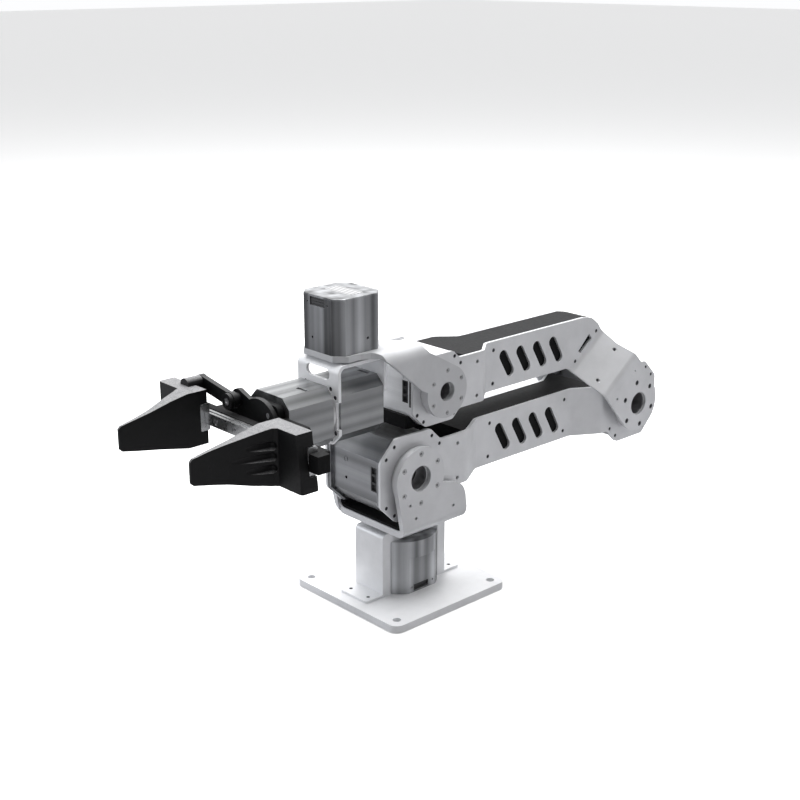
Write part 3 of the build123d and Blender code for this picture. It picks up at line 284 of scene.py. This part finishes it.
def finish(name, colour, rough, metal, grain=0.5, grain_scale=GRAIN_SCALE, streak=None,
           streak_amount=0.0, reflection_band=0.0, edge_gain=1.25, round_mm=0.3, mottle=0.06, painted_top_amount=0.0,
           sheen=0.5):
    """Metal or plastic with worn edges, fine grain, brushing along one axis with painted
    reflection bands across it, slow mottling and, where asked, painted top light.
    """
    mat = bpy.data.materials.new(name)
    t = Tree(mat)
    b = t.nodes["Principled BSDF"]
    where = t.coords("Object")
    soft = t.add("ShaderNodeBevel", {"Radius": round_mm * MM}, samples=BEVEL_SAMPLES)
    soft = soft.outputs["Normal"]
    fine = t.noise(where, grain_scale, 2.0, 0.6)
    patch = t.noise(where, PATCH_SCALE, 2.0, 0.6)
    tone = t.around(t.noise(where, MOTTLE_SCALE, 3.0, 0.6), 1, mottle)
    height = fine
    # brushing lines, with painted reflection bands, multiply the tone
    if streak:
        lines, height = brushed(t, where, fine, streak, streak_amount, reflection_band)
        tone = t.maths("MULTIPLY", tone, lines)
    worn = edge_wear(t, soft, patch)
    light = tuple(min(c * edge_gain + EDGE_LIFT, EDGE_MOST) for c in colour)
    base = t.mix(worn, t.mix(1.0, colour, t.grey(tone), "MULTIPLY"), light)
    # painted top light on the up-facing faces, where an amount is given
    if painted_top_amount > 0:
        base = painted_top_light(t, base, fine, patch, painted_top_amount)
    ruff = t.maths("SUBTRACT", t.around(patch, rough, ROUGH_SPREAD),
                   t.maths("MULTIPLY", worn, WEAR_POLISH))
    bump = t.add("ShaderNodeBump", {"Strength": grain, "Distance": BUMP_DEPTH, "Height": height,
                                    "Normal": soft})
    t.links.new(base, b.inputs["Base Color"])
    t.links.new(ruff, b.inputs["Roughness"])
    t.links.new(bump.outputs[0], b.inputs["Normal"])
    b.inputs["Metallic"].default_value = metal
    b.inputs["Specular IOR Level"].default_value = sheen
    return mat


# settings shared by the brushed motor bodies; the upright ones get stronger painted reflection
# bands
BRUSHED = dict(grain=0.5, streak_amount=0.6, reflection_band=0.42, mottle=0.05)
BRUSHED_UPRIGHT = {**BRUSHED, "reflection_band": 0.75}

LOOKS = {
    "plate_aluminium": ("plate_aluminium", (0.83, 0.835, 0.85), 0.44, 0.45,
                        dict(grain=0.6, edge_gain=1.15)),
    # lighter copy of the plate aluminium: painted light for parts that sit in shade
    "plate_lit_copy": ("plate_lit_copy", (0.94, 0.945, 0.96), 0.46, 0.12,
                   dict(grain=0.6, edge_gain=1.03)),
    # darker copies of the plate aluminium: painted shade
    "plate_half_shaded_copy": ("plate_half_shaded_copy", (0.68, 0.685, 0.70), 0.46, 0.45,
                  dict(grain=0.6, edge_gain=1.2)),
    "plate_shaded_copy": ("plate_shaded_copy", (0.60, 0.605, 0.62), 0.55, 0.3,
                   dict(grain=0.6, edge_gain=1.2)),
    "link_aluminium": ("link_aluminium", (0.73, 0.735, 0.75), 0.46, 0.5,
                       dict(grain=0.7, edge_gain=1.25)),
    "motor_x": ("motor_brushed_x", (0.28, 0.285, 0.29), 0.33, 0.95,
                dict(streak="x", **BRUSHED)),
    "motor_y": ("motor_brushed_y", (0.27, 0.275, 0.285), 0.33, 0.95,
                dict(streak="y", **BRUSHED)),
    "motor_z": ("motor_brushed_z", (0.31, 0.315, 0.325), 0.33, 0.95,
                dict(streak="z", **BRUSHED_UPRIGHT)),
    # paler copy of the motor metal for j4: partly its own sandblasted tone, partly painted light
    # on a face in shade
    "motor_lit_copy": ("motor_lit_copy", (0.84, 0.845, 0.855), 0.44, 0.35,
                   dict(grain=0.9, streak="y", streak_amount=0.3, reflection_band=0.12)),
    "motor_steel": ("motor_steel", (0.42, 0.42, 0.43), 0.38, 0.95,
                    dict(streak="y", streak_amount=0.5)),
    "flange_steel": ("flange_steel", (0.60, 0.60, 0.61), 0.34, 0.95, dict(grain=0.35)),
    "flange_dark": ("flange_dark", (0.035, 0.035, 0.038), 0.42, 0.4,
                    dict(grain=0.5, edge_gain=3.0)),
    # the black plastics get painted top light on their up-facing faces, most of it on the fingers
    "black_plastic": ("black_plastic", (0.006, 0.006, 0.0065), 0.66, 0.0,
                      dict(grain=0.9, grain_scale=1900, edge_gain=3.0, mottle=0.15, painted_top_amount=0.03,
                           sheen=0.12)),
    "crank_plastic": ("crank_plastic", (0.005, 0.005, 0.0055), 0.50, 0.0,
                      dict(grain=0.9, grain_scale=1700, edge_gain=3.2, mottle=0.2, painted_top_amount=0.10,
                           sheen=0.22)),
    "finger_plastic": ("finger_plastic", (0.0045, 0.0045, 0.005), 0.50, 0.0,
                       dict(grain=1.0, grain_scale=1500, edge_gain=3.2, mottle=0.2, painted_top_amount=0.55,
                            sheen=0.25)),
    "connector_plastic": ("connector_plastic", (0.03, 0.03, 0.032), 0.45, 0.0,
                          dict(edge_gain=3.0)),
    "steel_screws": ("steel_screws", (0.50, 0.50, 0.51), 0.32, 0.95,
                     dict(edge_gain=1.4, round_mm=0.2)),
    "dark_screws": ("dark_screws", (0.09, 0.09, 0.095), 0.40, 0.8,
                    dict(edge_gain=2.4, round_mm=0.2)),
    "rail_steel": ("rail_steel", (0.50, 0.505, 0.51), 0.30, 1.0,
                   dict(grain=0.12, round_mm=0.15, streak="y", streak_amount=0.3, reflection_band=0.05)),
}

# a motor's body takes its look from the way it was extruded; the node's first word names the
# motor; j4 takes a paler copy, partly its own sandblasted tone and partly painted light on a face
# in shade
MOTOR_LOOK = {"j1": "motor_z", "j4": "motor_lit_copy", "j5": "motor_z", "j6": "motor_x",
              "grip": "motor_x"}
OTHER_MOTOR_LOOK = "motor_y"
# plates given lit and shaded copies of the aluminium: the paler copy is painted light on parts in
# shade (base plate, hand bracket), the darker copies are painted shade (shoulder bracket, wrist
# yoke)
PLATE_LIGHT_AND_SHADE_COPY = {"base_plate": "plate_lit_copy", "hand_bracket": "plate_lit_copy",
              "wrist_yoke": "plate_shaded_copy", "shoulder_bracket": "plate_half_shaded_copy"}


def look_of(node, slot):
    look = PLATE_LIGHT_AND_SHADE_COPY.get(node, slot)
    if look == "motor_aluminium":
        look = MOTOR_LOOK.get(node.split("_")[0], OTHER_MOTOR_LOOK)
    return look


def dress_frame():
    """Give every CAD node its procedural material."""
    made = {}
    for key, (name, colour, rough, metal, settings) in LOOKS.items():
        made[key] = finish(name, colour, rough, metal, **settings)
    slots = {s["node"]: s["material_slot"] for s in frame["record"]["subparts"]}
    for node, obj in frame["nodes"].items():
        obj.data.materials.clear()
        obj.data.materials.append(made[look_of(node, slots[node])])


# ---------------------------------------------------------------- plain rating plate
def tag_material():
    """Pale bars on a darker ground, with no lettering."""
    mat = bpy.data.materials.new("rating_plate_print")
    t = Tree(mat)
    b = t.nodes["Principled BSDF"]
    where = t.coords("Object")
    across = t.add("ShaderNodeSeparateXYZ", {0: where}).outputs[0]
    line = t.maths("FRACT", t.maths("MULTIPLY", across, 1 / TAG_BAR_PITCH))
    bar = t.maths("MULTIPLY", t.maths("GREATER_THAN", line, TAG_BAR_FROM),
                  t.maths("LESS_THAN", line, TAG_BAR_TO))
    fine = t.noise(where, TAG_GRAIN_SCALE, 2.0)
    pale = t.grey(t.ramp(fine, NOISE_LOW, NOISE_HIGH, *TAG_BAR_TONES))
    ruff = t.ramp(fine, NOISE_LOW, NOISE_HIGH, *TAG_ROUGHNESS)
    t.links.new(t.mix(bar, TAG_GROUND, pale), b.inputs["Base Color"])
    t.links.new(ruff, b.inputs["Roughness"])
    return mat


def rounded_ring(cx, cy):
    """Points round a rectangle with rounded corners, centred on (cx, cy)."""
    ring = []
    for k in range(TAG_POINTS):
        angle = 2 * math.pi * k / TAG_POINTS
        along_x, along_y = math.cos(angle), math.sin(angle)
        side_x = 1 if along_x >= 0 else -1
        side_y = 1 if along_y >= 0 else -1
        ring.append((cx + side_x * (TAG_HALF_X - TAG_CORNER) + TAG_CORNER * along_x,
                     cy + side_y * (TAG_HALF_Y - TAG_CORNER) + TAG_CORNER * along_y))
    return ring


def rating_plate():
    """Thin plain-barred plate with rounded corners on the upright motor's cap."""
    lo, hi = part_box("j5_cap")
    cx = (lo[0] + hi[0]) / 2 + TAG_SHIFT_X
    cy = (lo[1] + hi[1]) / 2 + TAG_SHIFT_Y
    ring = rounded_ring(cx, cy)
    inset = [(cx + (x - cx) * TAG_INSET_X, cy + (y - cy) * TAG_INSET_Y) for x, y in ring]
    n = len(ring)
    levels = [(ring, TAG_GAP), (ring, TAG_THICK * TAG_SHOULDER), (inset, TAG_THICK)]
    verts = [(x, y, hi[2] + height) for points, height in levels for x, y in points]
    faces = [tuple(reversed(range(n))), tuple(range(2 * n, 3 * n))]
    for level in (0, n):
        for k in range(n):
            m = (k + 1) % n
            faces.append((level + k, level + m, level + n + m, level + n + k))
    mesh = bpy.data.meshes.new("rating_plate")
    mesh.from_pydata(verts, [], faces)
    mesh.materials.append(tag_material())
    piece = bpy.data.objects.new("rating_plate", mesh)
    bpy.context.scene.collection.objects.link(piece)
    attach(piece, "wrist")


# ---------------------------------------------------------------- build
make_camera()
make_floor()
make_world()
for lamp in LAMPS:
    area_light(*lamp)
bpy.context.scene.view_settings.view_transform = "Standard"
dress_frame()
rating_plate()
